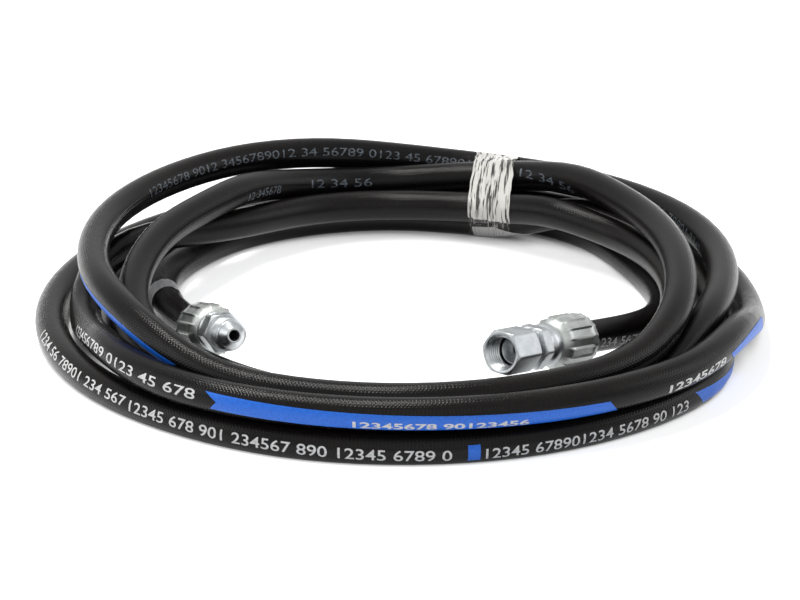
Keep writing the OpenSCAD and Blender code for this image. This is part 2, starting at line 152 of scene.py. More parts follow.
def heading(turn):
    """Direction from an angle on the floor and an angle of rise."""
    a, e = (math.radians(x) for x in turn)
    return np.array([math.cos(e) * math.cos(a), math.cos(e) * math.sin(a), math.sin(e)])


def bend(p0, t0, p1, t1, s):
    """A point of the cubic that leaves p0 along t0 and reaches p1 along t1."""
    return (
        (2 * s**3 - 3 * s**2 + 1) * p0
        + (s**3 - 2 * s**2 + s) * t0
        + (3 * s**2 - 2 * s**3) * p1
        + (s**3 - s**2) * t1
    )


MALE_DIR, FEMALE_DIR = heading(MALE_TURN), heading(FEMALE_TURN)


def centre_line():
    """The hose's points from fitting to fitting, and the angle of turn at each of them."""
    step = 360 / RINGS_PER_TURN
    last_turn = COIL_FROM + step * math.floor((COIL_TO - COIL_FROM) / step)
    turns = np.arange(COIL_FROM, last_turn + 0.01, step / FINE)
    coil = [coil_at(t) for t in turns]
    first_dir = unit(coil_at(turns[0] + 0.5) - coil_at(turns[0] - 0.5))
    last_dir = unit(coil_at(last_turn + 0.5) - coil_at(last_turn - 0.5))
    male_in = MALE_POS - MALE_DIR * RUN_IN
    female_in = FEMALE_POS - FEMALE_DIR * RUN_IN
    male_span = np.linalg.norm(coil[0] - male_in)
    female_span = np.linalg.norm(female_in - coil[-1])
    straight = (HOSE_DEPTH, 15.0, 10.0, 5.0, 0.0)
    points = [MALE_POS + MALE_DIR * s for s in straight]
    labels = [turns[0] - TAIL_TURN] * len(points)
    for i in range(TAIL_STEPS):
        s = i / TAIL_STEPS
        points.append(bend(male_in, -MALE_DIR * male_span, coil[0], first_dir * male_span, s))
        labels.append(turns[0] - TAIL_TURN * (1 - s))
    points += coil
    labels += list(turns)
    for i in range(1, TAIL_STEPS + 1):
        s = i / TAIL_STEPS
        points.append(bend(coil[-1], last_dir * female_span,
                           female_in, FEMALE_DIR * female_span, s))
        labels.append(last_turn + TAIL_TURN * s)
    points += [FEMALE_POS + FEMALE_DIR * s for s in reversed(straight)]
    labels += [last_turn + TAIL_TURN] * len(straight)
    return np.array(points), np.array(labels, float)


def frames(points):
    """Tangent, inward side and upward vector at each point of a line."""
    ahead = np.gradient(points, axis=0)
    ahead /= np.linalg.norm(ahead, axis=1)[:, None]
    side = np.cross(ahead, [0.0, 0.0, 1.0])
    side /= np.linalg.norm(side, axis=1)[:, None]
    return ahead, side, np.cross(side, ahead)


CENTRE = np.array([-0.0412, -2.4368, 0.0])  # middle of the coil's outline, the model's origin
line, line_turn = centre_line()
line = line - CENTRE
ahead, side, upward = frames(line)
reach = np.concatenate([[0.0], np.cumsum(np.linalg.norm(np.diff(line, axis=0), axis=1))])


def reach_at(turn):
    """Length along the hose, in millimetres, at an angle of turn."""
    return float(np.interp(turn, line_turn, reach))


def on_hose(along, around, lift):
    """A point just off the cover: length along it, degrees round it (90 up, 180 outward)."""
    mid, s, u = (np.array([np.interp(along, reach, row) for row in table.T])
                 for table in (line, side, upward))
    a = math.radians(around)
    return mid + (HOSE_R + lift) * (math.cos(a) * unit(s) + math.sin(a) * unit(u))


# ---------------------------------------------------------------- materials

CROSS_RIBS = (60.0, 2300.0, 1.0)  # the wrap's fine ribs, as texture scales round and along


class Nodes:
    """A short way to write a node material."""

    def __init__(self, name):
        self.material = bpy.data.materials.new(name)
        self.material.use_nodes = True
        self.tree = self.material.node_tree
        self.shader = self.tree.nodes["Principled BSDF"]
        self.coords = self.add("ShaderNodeTexCoord")

    def add(self, kind, **values):
        node = self.tree.nodes.new(kind)
        for key, value in values.items():
            node.inputs[key].default_value = value
        return node

    def link(self, source, target):
        self.tree.links.new(source, target)

    def set(self, **values):
        for key, value in values.items():
            self.shader.inputs[key.replace("_", " ")].default_value = value

    def mixed(self, a, share_a, b, share_b):
        """Two values added in the given shares."""
        return self.maths("ADD", self.maths("MULTIPLY", a, share_a),
                          self.maths("MULTIPLY", b, share_b))

    def scaled(self, source, scale):
        node = self.add("ShaderNodeMapping")
        node.inputs["Scale"].default_value = scale
        self.link(self.coords.outputs[source], node.inputs["Vector"])
        return node.outputs["Vector"]

    def noise(self, vector, scale, detail=3.0, roughness=0.55):
        node = self.add("ShaderNodeTexNoise", Scale=scale, Detail=detail, Roughness=roughness)
        self.link(vector, node.inputs["Vector"])
        return node.outputs["Fac"]

    def ramp(self, value, stops):
        node = self.add("ShaderNodeValToRGB")
        while len(node.color_ramp.elements) < len(stops):
            node.color_ramp.elements.new(0.5)
        for element, (place, colour) in zip(node.color_ramp.elements, stops):
            element.position = place
            element.color = (*colour, 1.0)
        self.link(value, node.inputs["Fac"])
        return node.outputs["Color"]

    def maths(self, kind, a, b):
        node = self.add("ShaderNodeMath")
        node.operation = kind
        for slot, value in zip(node.inputs, (a, b)):
            if isinstance(value, (int, float)):
                slot.default_value = value
            else:
                self.link(value, slot)
        return node.outputs["Value"]

    def remap(self, value, low, high, to_low, to_high):
        node = self.add("ShaderNodeMapRange")
        for key, number in zip(("From Min", "From Max", "To Min", "To Max"),
                               (low, high, to_low, to_high)):
            node.inputs[key].default_value = number
        self.link(value, node.inputs["Value"])
        return node.outputs["Result"]

    def bump(self, height, strength, distance, below=None):
        node = self.add("ShaderNodeBump", Strength=strength, Distance=distance)
        self.link(height, node.inputs["Height"])
        if below is not None:
            self.link(below, node.inputs["Normal"])
        return node.outputs["Normal"]

    def paint(self, **links):
        for key, source in links.items():
            self.link(source, self.shader.inputs[key.replace("_", " ")])


def crossed_waves(m, scale, lean):
    """Two sets of slanted waves that cross, as woven or braided threads do."""
    waves = []
    for slant in (1.0, -1.0):
        mapping = m.add("ShaderNodeMapping")
        mapping.inputs["Scale"].default_value = (scale, scale, 1.0)
        mapping.inputs["Rotation"].default_value = (0.0, 0.0, slant * math.radians(lean))
        m.link(m.coords.outputs["UV"], mapping.inputs["Vector"])
        wave = m.add("ShaderNodeTexWave", Scale=1.0, Distortion=0.0)
        m.link(mapping.outputs["Vector"], wave.inputs["Vector"])
        waves.append(wave.outputs["Fac"])
    return m.maths("MAXIMUM", *waves)


def cover_rubber():
    """Wrapped black cover: the wrap's woven print, fine cross ribs, pores and uneven gloss."""
    m = Nodes("cover_rubber")
    m.set(Specular_IOR_Level=0.15)
    woven = crossed_waves(m, 290.0, 52.0)
    ribs = m.noise(m.scaled("UV", CROSS_RIBS), 1.0, 2.0, 0.6)
    pores = m.noise(m.scaled("UV", (620.0, 620.0, 1.0)), 1.0, 3.0, 0.6)
    drift = m.noise(m.scaled("UV", (30.0, 12.0, 1.0)), 1.0, 3.0, 0.5)
    tone = m.ramp(m.mixed(drift, 0.6, pores, 0.4),
                  [(0.36, (0.0038, 0.0034, 0.0038)), (0.66, (0.0105, 0.0088, 0.0080))])
    rough = m.remap(m.mixed(pores, 0.5, drift, 0.5), 0.3, 0.7, 0.10, 0.21)
    ribbed = m.bump(ribs, 0.12, 0.00014)
    pored = m.bump(pores, 0.14, 0.00014, ribbed)
    m.paint(Base_Color=tone, Roughness=rough, Normal=m.bump(woven, 0.40, 0.00018, pored))
    return m.material


def tube_rubber():
    """Smooth extruded inner tube."""
    m = Nodes("tube_rubber")
    m.set(Roughness=0.35)
    drift = m.noise(m.scaled("UV", (40.0, 25.0, 1.0)), 1.0, 3.0)
    m.paint(Base_Color=m.ramp(drift, [(0.35, (0.026, 0.026, 0.027)), (0.7, (0.042, 0.041, 0.041))]))
    return m.material


def braid_steel():
    """Brass-coated wires laid both ways."""
    m = Nodes("braid_steel")
    m.set(Metallic=1.0, Roughness=0.32)
    crossing = crossed_waves(m, 1100.0, 54.7)
    m.paint(Base_Color=m.ramp(crossing, [(0.2, (0.16, 0.12, 0.06)), (0.8, (0.66, 0.56, 0.36))]),
            Normal=m.bump(crossing, 0.7, 0.0003))
    return m.material


def plated_steel(name, dark, light, rough, lathe):
    """Zinc plating with a clear chromate: turned rings, cloudy brightness, a faint bluish cast."""
    m = Nodes(name)
    m.set(Metallic=1.0, Roughness=rough)
    cloud = m.noise(m.scaled("Object", (190.0, 190.0, 190.0)), 1.0, 4.0, 0.6)
    speck = m.noise(m.scaled("Object", (1500.0, 1500.0, 1500.0)), 1.0, 2.0, 0.6)
    rings = m.noise(m.scaled("UV", (3.0, lathe, 1.0)), 1.0, 2.0, 0.5)
    mixed = m.mixed(cloud, 0.7, speck, 0.3)
    uneven = m.remap(mixed, 0.3, 0.7, rough - 0.07, rough + 0.10)
    first = m.bump(rings, 0.16, 0.00006)
    m.paint(Base_Color=m.ramp(mixed, [(0.32, dark), (0.66, light)]), Roughness=uneven,
            Normal=m.bump(speck, 0.10, 0.00005, first))
    return m.material


def spring_wire():
    """Bright drawn wire."""
    m = Nodes("spring_wire")
    m.set(Metallic=1.0, Roughness=0.25)
    speck = m.noise(m.scaled("Object", (1200.0, 1200.0, 1200.0)), 1.0)
    m.paint(Base_Color=m.ramp(speck, [(0.3, (0.42, 0.42, 0.44)), (0.7, (0.62, 0.62, 0.64))]))
    return m.material


def ink(name, deep, bright, cover):
    """A printed layer: thin ink with small gaps, over the rubber's own ribs."""
    m = Nodes(name)
    m.set(Roughness=0.42)
    ribs = m.noise(m.scaled("UV", CROSS_RIBS), 1.0, 2.0, 0.6)
    gaps = m.noise(m.scaled("UV", (1300.0, 1300.0, 1.0)), 1.0, 2.0, 0.7)
    bare = (0.03, 0.03, 0.035)
    m.paint(Base_Color=m.ramp(gaps, [(cover, bare), (cover + 0.12, deep), (0.75, bright)]),
            Normal=m.bump(ribs, 0.25, 0.00012))
    return m.material


def clear_film(name, streaks, noise_range, cover_range, tone=(0.70, 0.685, 0.645)):
    """Clear stretch film with milky drawn-out strands, which cover what is under them."""
    m = Nodes(name)
    m.set(Base_Color=(*tone, 1.0), Roughness=0.26, IOR=1.49, Specular_IOR_Level=0.5)
    strands = m.noise(m.scaled("UV", (streaks, 38.0, 1.0)), 1.0, 3.0, 0.6)
    wisps = m.noise(m.scaled("UV", (streaks * 2.6, 90.0, 1.0)), 1.0, 2.0, 0.6)
    both = m.mixed(strands, 0.62, wisps, 0.38)
    m.paint(Alpha=m.remap(both, *noise_range, *cover_range), Normal=m.bump(both, 0.7, 0.0005))
    m.material.surface_render_method = "BLENDED"
    return m.material


def white_floor():
    """White floor that camera, gloss and film see as white; painted shade darkens narrow gaps."""
    tone, glow, painted_shade_glow = 0.86, 0.68, 0.03
    gap_reach, gap_shut, gap_open = 0.015, 0.10, 0.45
    m = Nodes("floor_white")
    m.set(Base_Color=(tone, tone, tone, 1.0), Roughness=0.9, Specular_IOR_Level=0.1)
    out = m.tree.nodes["Material Output"]
    light = m.add("ShaderNodeEmission")
    # painted shade: ambient occlusion lowers the floor's glow in narrow gaps and next to the hose,
    # darkening them as contact shadow
    painted_shade_ao = m.add("ShaderNodeAmbientOcclusion", Distance=gap_reach).outputs["AO"]
    m.link(m.remap(painted_shade_ao, gap_shut, gap_open, painted_shade_glow, glow), light.inputs["Strength"])
    path = m.add("ShaderNodeLightPath")
    seen = m.maths("MAXIMUM", path.outputs["Is Camera Ray"], path.outputs["Is Transmission Ray"])
    seen = m.maths("MAXIMUM", seen, path.outputs["Is Glossy Ray"])
    both = m.add("ShaderNodeAddShader")
    mix = m.add("ShaderNodeMixShader")
    m.link(m.shader.outputs["BSDF"], both.inputs[0])
    m.link(light.outputs["Emission"], both.inputs[1])
    m.link(seen, mix.inputs["Fac"])
    m.link(m.shader.outputs["BSDF"], mix.inputs[1])
    m.link(both.outputs["Shader"], mix.inputs[2])
    m.link(mix.outputs["Shader"], out.inputs["Surface"])
    return m.material


ZINC = plated_steel("zinc_steel", (0.40, 0.43, 0.455), (0.62, 0.64, 0.65), 0.34, 5200.0)
FERRULE_STEEL = plated_steel("ferrule_steel", (0.36, 0.385, 0.38), (0.58, 0.60, 0.585),
                             0.42, 2600.0)
BLUE = ink("stripe_blue", (0.004, 0.11, 0.62), (0.012, 0.20, 0.86), 0.20)
WHITE = ink("print_white", (0.62, 0.62, 0.62), (0.80, 0.80, 0.80), 0.26)
FAINT = ink("print_faint", (0.10, 0.125, 0.15), (0.22, 0.26, 0.30), 0.42)
FILM = clear_film("clear_film", 1300.0, (0.545, 0.63), (0.05, 0.85))
MILKY_FILM = clear_film("milky_film", 600.0, (0.43, 0.50), (0.10, 0.97))
HAZE = clear_film("hazy_film", 500.0, (0.40, 0.60), (0.72, 0.94), (0.86, 0.85, 0.85))

# ---------------------------------------------------------------- mesh helpers

SOFT, FILM_SOFT, TURNED_SHARP, FERRULE_SHARP = 60.0, 80.0, 28.0, 24.0  # degrees of a sharp edge
TURNED_R = 8.0  # radius that lays the texture out round turned steel


def make_piece(name, points, faces, material, body, uv, angle):
    """A smooth-shaded mesh piece in metres, from points and a texture layout in millimetres."""
    mesh = bpy.data.meshes.new(name)
    mesh.from_pydata([tuple(c * MM for c in p) for p in points], [], faces)
    layer = mesh.uv_layers.new(name="UVMap")
    for polygon in mesh.polygons:
        for corner, (u, v) in zip(polygon.loop_indices, uv[polygon.index]):
            layer.data[corner].uv = (u * MM, v * MM)
    mesh.materials.append(material)
    mesh.shade_smooth()
    mesh.set_sharp_from_angle(angle=math.radians(angle))
    mesh.validate()
    piece = bpy.data.objects.new(name, mesh)
    bpy.context.scene.collection.objects.link(piece)
    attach(piece, body)
    return piece


def grid_faces(rows, columns, close_rows=False, close_columns=True, flip=False):
    """Quads over a grid that may close on itself, and the row and column of their corners."""
    faces, corners = [], []
    for i in range(rows if close_rows else rows - 1):
        for j in range(columns if close_columns else columns - 1):
            cell = [(i, j), (i, j + 1), (i + 1, j + 1), (i + 1, j)]
            if flip:
                cell.reverse()
            faces.append([(r % rows) * columns + c % columns for r, c in cell])
            corners.append(cell)
    return faces, corners


def hose_layer(name, outer, inner, columns, floor, material):
    """One hollow layer of the hose along the whole line, flat where it rests on the floor."""
    points, faces, uvs = [], [], []
    count = len(line)
    a = np.radians(np.arange(columns) * 360.0 / columns)
    for radius in (outer, inner):
        ring = (np.cos(a)[None, :, None] * side[:, None, :]
                + np.sin(a)[None, :, None] * upward[:, None, :])
        skin = line[:, None, :] + radius * ring
        skin[:, :, 2] = np.maximum(skin[:, :, 2], floor)
        points += skin.reshape(-1, 3).tolist()
    around = 2 * math.pi * HOSE_R / columns
    inner_skin = count * columns
    for shift, flip in ((0, False), (inner_skin, True)):
        skin_faces, corners = grid_faces(count, columns, flip=flip)
        faces += [[k + shift for k in face] for face in skin_faces]
        uvs += [[(c * around, reach[r]) for r, c in cell] for cell in corners]
    for start, flip in ((0, False), (inner_skin - columns, True)):
        for j in range(columns):
            here, after = start + j, start + (j + 1) % columns
            cell = [here, inner_skin + here, inner_skin + after, after]
            faces.append(cell[::-1] if flip else cell)
            uvs.append([(0.0, 0.0)] * 4)
    return make_piece(name, points, faces, material, "hose", uvs, SOFT)


# ---------------------------------------------------------------- the hose

hose = hose_layer("hose_outer_cover", HOSE_R, COVER_IN_R, 28, COVER_FLAT,
                  cover_rubber())
braid = hose_layer("hose_wire_layer", BRAID_R, BRAID_IN_R, 18, BRAID_FLAT,
                   braid_steel())
liner = hose_layer("hose_inner_liner", TUBE_R, TUBE_IN_R, 14, TUBE_FLAT,
                   tube_rubber())
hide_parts("hose_cover")
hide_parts("wire_braid")
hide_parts("inner_tube")

# ---------------------------------------------------------------- print on the hose


def stripe(name, turn_a, turn_b, middle, width, slant_a=0.0, slant_b=0.0, notch=0.0, drift=0.0):
    """A blue stripe between two angles of turn. Slants move the ends' edges along the hose, and a
    notch draws the second end's middle in; drift turns the stripe slowly round the hose."""
    start, stop = reach_at(turn_a), reach_at(turn_b)
    along = max(4, int(abs(stop - start) / STRIPE_STEP))
    half = math.degrees(width / 2 / HOSE_R)
    points = []
    for i in range(along + 1):
        s = i / along
        for j in range(STRIPE_CELLS + 1):
            c = 2 * j / STRIPE_CELLS - 1
            a = start + slant_a * c
            b = stop + slant_b * c - notch * (1 - abs(c))
            at = a * (1 - s) + b * s
            points.append(on_hose(at, middle + drift * s + half * c, STRIPE_LIFT))
    faces, corners = grid_faces(along + 1, STRIPE_CELLS + 1, close_columns=False)
    uvs = [[(c * width / STRIPE_CELLS, r * STRIPE_STEP) for r, c in cell] for cell in corners]
    make_piece(name, points, faces, BLUE, "hose", uvs, SOFT)


stripe("stripe_front", 507.5, 569.5, 210, 6.8, slant_a=-2.6, slant_b=-1.0, notch=4.0, drift=-34)
stripe("stripe_right", 464, 481.5, 176, 5.6, slant_b=-3.0, drift=30)
stripe("stripe_low_right", 114, 129, 201, 6.0, slant_b=-2.4, drift=-22)
stripe("stripe_low_block", 168.3, 170.15, 184, 6.6)
stripe("stripe_left", 1301, 1336, 197, 3.4, slant_a=4.0)
stripe("stripe_male_tail", -136, -124, 250, 6.0)


def cut_in_strips(shape, axis, pitch):
    """Cut a flat mesh across at an even pitch, so that it can be bent."""
    normal = Vector([1.0 if k == axis else 0.0 for k in range(3)])
    places = [v.co[axis] for v in shape.verts]
    cut = min(places) + pitch
    while cut < max(places):
        everything = shape.verts[:] + shape.edges[:] + shape.faces[:]
        bmesh.ops.bisect_plane(shape, geom=everything, plane_co=normal * cut, plane_no=normal)
        cut += pitch


def print_line(name, text, turns, middles, height, material, inside=False, bold=0.0):
    """Plain figures laid on the hose between two angles of turn, as they read from left to right,
    at an angle round the hose that may drift; inside is for figures on the far side."""
    curve = bpy.data.curves.new(name, "FONT")
    curve.body, curve.size, curve.offset = text, height * FIGURE_SCALE, bold
    flat = bpy.data.objects.new(name, curve)
    bpy.context.scene.collection.objects.link(flat)
    bpy.context.view_layer.update()
    mesh = bpy.data.meshes.new_from_object(flat)
    bpy.data.objects.remove(flat)
    bpy.data.curves.remove(curve)
    shape = bmesh.new()
    shape.from_mesh(mesh)
    bpy.data.meshes.remove(mesh)
    cut_in_strips(shape, 1, height / FIGURE_STRIPS)
    cut_in_strips(shape, 0, height)
    shape.verts.index_update()
    places = [v.co.x for v in shape.verts]
    ends = [reach_at(turn) for turn in turns]
    up = 1.0 if inside else -1.0
    points = []
    for v in shape.verts:
        share = (v.co.x - min(places)) / (max(places) - min(places))
        along, middle = (a + (b - a) * share for a, b in (ends, middles))
        rise = math.degrees((v.co.y - height / 2) / HOSE_R)
        points.append(on_hose(along, middle + up * rise, PRINT_LIFT))
    faces = [[v.index for v in f.verts] for f in shape.faces]
    uvs = [[(v.co.x, v.co.y) for v in f.verts] for f in shape.faces]
    shape.free()
    make_piece(name, points, faces, material, "hose", uvs, SOFT)


def figures(*groups):
    """Plain figures counted up, in groups of the given lengths."""
    digits, words = itertools.cycle("1234567890"), []
    for size in groups:
        words.append("".join(itertools.islice(digits, size)))
    return " ".join(words)


for name, groups, turns, middles, height, bold in (
    ("print_low_left", (4, 2, 5, 3, 3), (256, 226), (145, 160), 3.9, 0.05),
    ("print_low_front", (5, 3, 3, 6, 3, 5, 4, 1), (225, 172.5), (166, 188), 4.2, 0.05),
    ("print_low_right", (5, 9, 4, 2, 3), (167.5, 132), (190, 182), 4.2, 0.05),
    ("print_front_left", (9, 4, 2, 3), (611, 571.5), (164, 166), 3.8, 0.04),
    ("print_on_stripe", (8, 8), (547, 521), (199, 212), 2.7, 0.10),
    ("print_right", (8,), (498, 484.5), (196, 190), 3.3, 0.12),
    ("print_female_tail", (4, 3, 3), (1934, 1908), (187, 200), 3.6, 0.04),
):
    print_line(name, figures(*groups), turns, middles, height, WHITE, bold=bold)
for name, groups, turns, middles in (
    ("print_back_top", (8, 4, 10, 2, 5, 4, 2, 6), (1378, 1453), (18, 26)),
    ("print_back_middle", (2, 6), (1034, 1047), (348, 357)),
    ("print_back_date", (2, 2, 2), (1057, 1073), (15, 18)),
    ("print_right_date", (2, 2, 2), (1109, 1126), (30, -24)),
    ("print_right_top", (4, 10, 2, 5, 4), (1470, 1516), (54, -3)),
):
    print_line(name, figures(*groups), turns, middles, 3.4, FAINT, inside=True)

# ---------------------------------------------------------------- turned and pressed steel


def place(position, turn):
    """Matrix from a fitting's own axis, z towards its open end, to the model, in millimetres."""
    shift = Matrix.Translation(Vector(position - CENTRE))
    return (shift @ Matrix.Rotation(math.radians(turn[0]), 4, "Z")
            @ Matrix.Rotation(math.radians(90 - turn[1]), 4, "Y"))


MALE_PLACE, FEMALE_PLACE = place(MALE_POS, MALE_TURN), place(FEMALE_POS, FEMALE_TURN)


def round_at(angle, z, r):
    """A plain round section."""
    return r


def hex_at(af):
    """Section of a hexagonal bar, its corners a little rounded, within the row's own radius."""
    def radius(angle, z, r):
        off = (math.degrees(angle) + 30.0) % 60.0 - 30.0
        return min(r, af / 2 / math.cos(math.radians(off)), af / math.sqrt(3) - HEX_ROUNDING)
    return radius


def thread_at(sign):
    """A V thread, cut in from the crest (sign -1, outside) or out from it (sign 1, inside)."""
    def radius(angle, z, r):
        phase = (z / THREAD_PITCH - angle / (2 * math.pi)) % 1.0
        cut = min(1.0, max(0.0, 1.0 - abs(phase - 0.5) * THREAD_FLANK))
        return r + sign * THREAD_DEPTH * cut
    return radius


def crimp_at(angle, z, r):
    """A crimped shell: flat between the dies' gaps, a narrow ridge left at each gap, and lobes
    that scallop the rear lip."""
    pitch = 2 * math.pi / CRIMPS
    off = (angle + pitch / 2) % pitch - pitch / 2
    flat = math.cos(pitch / 2) / math.cos(pitch / 2 - abs(off))
    deepen = max(0.0, min(1.0, (z - CRIMP_FROM) / CRIMP_RISE))
    fade = max(0.0, min(1.0, (FERRULE_LEN - CRIMP_BACK - z) / CRIMP_FADE))
    rise = deepen * fade
    ridge = max(0.0, 1.0 - abs(off) * r / RIDGE) * RIDGE * rise
    lip = max(0.0, 1.0 - z / LOBE_LEN)
    lobes = LOBE_RISE * max(0.0, math.cos(off / pitch * 2 * math.pi)) * lip
    return r * (1 - (1 - flat) * CRIMP_SINK * rise) + ridge + lobes - LOBE_SINK * lip


def turned(name, rows, sides, placed, material, body, angle=TURNED_SHARP):
    """A closed solid of revolution whose rows say height, radius and how the section is shaped."""
    points, total, run = [], len(rows), [0.0]
    for i, (z, r, section) in enumerate(rows):
        for j in range(sides):
            a = 2 * math.pi * j / sides
            radius = section(a, z, r)
            points.append(placed @ Vector((radius * math.cos(a), radius * math.sin(a), z)))
        if i:
            run.append(run[-1] + math.hypot(z - rows[i - 1][0], r - rows[i - 1][1]))
    faces, corners = grid_faces(total, sides, close_rows=True)
    run.append(run[-1])
    around = 2 * math.pi * TURNED_R / sides
    uvs = [[(c * around, run[r]) for r, c in cell] for cell in corners]
    return make_piece(name, points, faces, material, body, uvs, angle)


def steps(a, b, count, section):
    """Rows between two (height, radius) pairs, both ends included."""
    return [(a[0] + (b[0] - a[0]) * i / count, a[1] + (b[1] - a[1]) * i / count, section)
            for i in range(count + 1)]


def soft_corner(z, r, way_in, way_out, size):
    """Three rows that round one corner of a turned outline."""
    z_in, r_in = way_in
    z_out, r_out = way_out
    return [(z - z_in * size, r - r_in * size, round_at),
            (z - (z_in - z_out) * size * 0.3, r - (r_in - r_out) * size * 0.3, round_at),
            (z + z_out * size, r + r_out * size, round_at)]


def outline(points, size):
    """Rows for a plain turned outline with each inner corner rounded."""
    rows = [(points[0][0], points[0][1], round_at)]
    for before, here, after in zip(points, points[1:], points[2:]):
        d_in = np.array(here, float) - before
        d_out = np.array(after, float) - here
        cut = min(size, np.linalg.norm(d_in) * 0.45, np.linalg.norm(d_out) * 0.45)
        rows += soft_corner(*here, unit(d_in), unit(d_out), cut)
    rows.append((points[-1][0], points[-1][1], round_at))
    return rows


def ferrule(name, node, placed):
    """Crimped shell: scalloped rear lip, ridges between the die marks, drawn-in shoulder."""
    base = FERRULE_R - 0.45
    rows = [(0.35, 7.3, round_at), (0.0, 8.4, round_at), (0.05, base - 0.75, crimp_at)]
    rows += steps((0.4, base + 0.15), (2.2, base + 0.2), 6, crimp_at)
    rows += steps((2.9, base), (FERRULE_LEN - 4.8, base), 12, crimp_at)
    shoulder = ((3.8, 0.1), (2.8, 0.45), (2.0, 0.95), (1.2, 1.6), (0.6, 2.3))
    rows += [(FERRULE_LEN - back, base - drop, crimp_at) for back, drop in shoulder]
    rows += [(z + FERRULE_LEN, r, round_at) for z, r in
             ((-0.2, base - 3.1), (0.0, base - 3.7), (0.0, 4.6), (-1.8, 4.6),
              (-2.0, FERRULE_BORE_R))]
    rows.append((1.2, FERRULE_BORE_R, round_at))
    piece = turned(name, rows, 192, placed, FERRULE_STEEL, "hose",
                   FERRULE_SHARP)
    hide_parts(node)
    return piece


def stem_tail_rows():
    """Barbed tail inside the hose, from its tip forward to the neck in the ferrule's front."""
    pitch = (HOSE_DEPTH - TAIL_START - 3.0) / BARBS
    rows = [(TAIL_START, BORE_R), (TAIL_START, 2.55), (TAIL_START + 2.0, BARB_R)]
    for i in range(BARBS):
        z = TAIL_START + 3.0 + i * pitch
        rows += [(z, BARB_R), (z + 0.05 * pitch, BARB_ROOT_R), (z + 0.3 * pitch, BARB_ROOT_R),
                 (z + 0.8 * pitch, BARB_R)]
    rows += [(HOSE_DEPTH + 0.3, BARB_R), (HOSE_DEPTH + 0.3, NECK_R), (FERRULE_LEN + 0.5, NECK_R)]
    return [(z, r, round_at) for z, r in rows]


def hex_rows(z0, z1, af):
    """Rows over a hexagon with a turned chamfer at each end."""
    corner, flat = af / math.sqrt(3) + 0.05, af / 2 - 0.1
    drop = (corner - flat) * HEX_CHAMFER
    shape = hex_at(af)
    middle = (z0 + drop + 0.4, (z0 + z1) / 2, z1 - drop - 0.4)
    return (steps((z0, flat), (z0 + drop, corner), 10, shape)
            + [(z, corner, shape) for z in middle]
            + steps((z1 - drop, corner), (z1, flat), 10, shape))


def male_end():
    """Barbed tail, collar, hex, neck, thread, then the cone and the bore in its nose."""
    rows = stem_tail_rows()
    rows += outline([(21.0, NECK_R), (20.8, 7.1), (21.2, 7.7), (22.8, 7.7), (23.4, 6.9)], 0.3)
    rows += hex_rows(23.5, 32.0, MALE_HEX_AF)
    rows += outline([(32.0, 6.0), (32.1, 5.45), (33.4, 5.45), (33.9, 5.75)], 0.2)
    crest = thread_at(-1.0)
    rows += steps((34.0, 5.8), (34.6, THREAD_R), 4, crest)
    rows += steps((34.7, THREAD_R), (39.7, THREAD_R), 40, crest)
    rows += steps((39.8, THREAD_R), (40.5, 5.62), 5, crest)
    tip = 45.5
    cone_len = (CONE_R - NOSE_R) / math.tan(SEAT_ANGLE)
    rows += outline([(40.7, 5.3), (40.9, CONE_R), (tip - cone_len - 0.5, CONE_R), (45.0, 2.85),
                     (tip, 2.8), (tip, BORE_R), (44.5, BORE_R)], 0.16)
    piece = turned("male_flare_stem", rows, 120, MALE_PLACE, ZINC, "hose")
    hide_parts("male_stem")
    return piece


def female_end():
    """Barbed tail, collar, hex, groove for the wire, then the nose with its cone seat and bore."""
    rows = stem_tail_rows()
    rows += outline([(21.0, NECK_R), (20.8, 7.1), (21.8, 8.25), (25.1, 8.25), (27.1, 7.35),
                     (27.8, 7.35)], 0.5)
    rows += hex_rows(28.0, 33.0, NUT_AF)
    rows += outline([(33.05, 6.6), (33.1, 4.4), (36.05, 4.4), (36.1, 3.9), (37.15, 3.9),
                     (37.2, 4.4), (38.8, 4.4), (38.82, 5.45), (43.3, 5.45), (43.8, 5.0),
                     (43.8, 4.7), (43.8 - 2.6 / math.tan(SEAT_ANGLE), BORE_R),
                     (33.2, BORE_R)], 0.12)
    piece = turned("female_flare_stem", rows, 120, FEMALE_PLACE, ZINC, "hose")
    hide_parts("female_stem")
    return piece


def swivel_nut():
    """Wire groove, rear lip, hex, then the mouth and the thread inside it."""
    rows = outline([(38.5, 4.46), (37.15, 4.46), (37.1, 5.02), (36.1, 5.02), (36.05, 4.46),
                    (34.2, 4.46), (34.2, 5.5), (35.1, 6.9), (36.2, 7.35)], 0.12)
    rows += hex_rows(36.4, 51.7, NUT_AF)
    rows += outline([(51.7, 7.2), (51.65, 6.95), (51.1, 6.5)], 0.15)
    root = thread_at(1.0)
    rows += steps((50.7, 6.05), (50.3, NUT_THREAD_R), 4, root)
    rows += steps((50.2, NUT_THREAD_R), (44.3, NUT_THREAD_R), 44, root)
    rows += [(44.1, 6.0, round_at), (44.05, 6.4, round_at), (38.6, 6.4, round_at)]
    piece = turned("free_turning_nut", rows, 120, FEMALE_PLACE, ZINC, "nut")
    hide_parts("swivel_nut")
    return piece


male_shell = ferrule("male_crimped_shell", "male_ferrule", MALE_PLACE)
female_shell = ferrule("female_crimped_shell", "female_ferrule", FEMALE_PLACE)
male_stem = male_end()
female_stem = female_end()
nut = swivel_nut()
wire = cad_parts["nut_retaining_wire"]
wire.data.materials.clear()
wire.data.materials.append(spring_wire())

# ---------------------------------------------------------------- clear film

